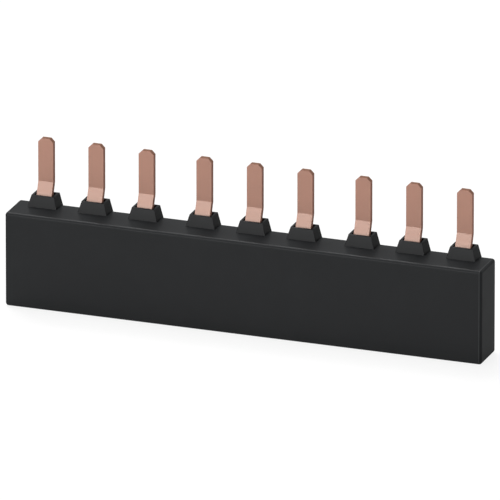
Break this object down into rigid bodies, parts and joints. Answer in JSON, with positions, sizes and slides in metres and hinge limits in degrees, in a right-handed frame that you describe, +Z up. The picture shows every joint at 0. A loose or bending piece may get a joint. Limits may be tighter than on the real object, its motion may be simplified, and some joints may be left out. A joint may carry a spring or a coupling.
{
  "type": "three-phase busbar",
  "caption": "Insulated comb busbar: slim moulded housing with a row of collared, offset copper blades that feed neighbouring circuit breakers.",
  "frame": {"origin": "centre of the flat base of the housing", "axes": "+X along the row of blades, +Y from the plain front to the back that the collars are flush with, +Z up towards the blade tips"},
  "size_m": [0.135, 0.0114, 0.0452],
  "materials": {
    "black_housing": "semi-matte moulded glass-filled polyamide",
    "copper": "satin rolled copper with punched edges",
    "insulation": "matte moulded insulating plate"
  },
  "bodies": {
    "root": {"housing": "black_housing", "base_cover": "black_housing", "phase_bar_l1": "copper", "phase_bar_l2": "copper", "phase_bar_l3": "copper", "phase_barrier_front": "insulation", "phase_barrier_rear": "insulation"}
  },
  "joints": []
}
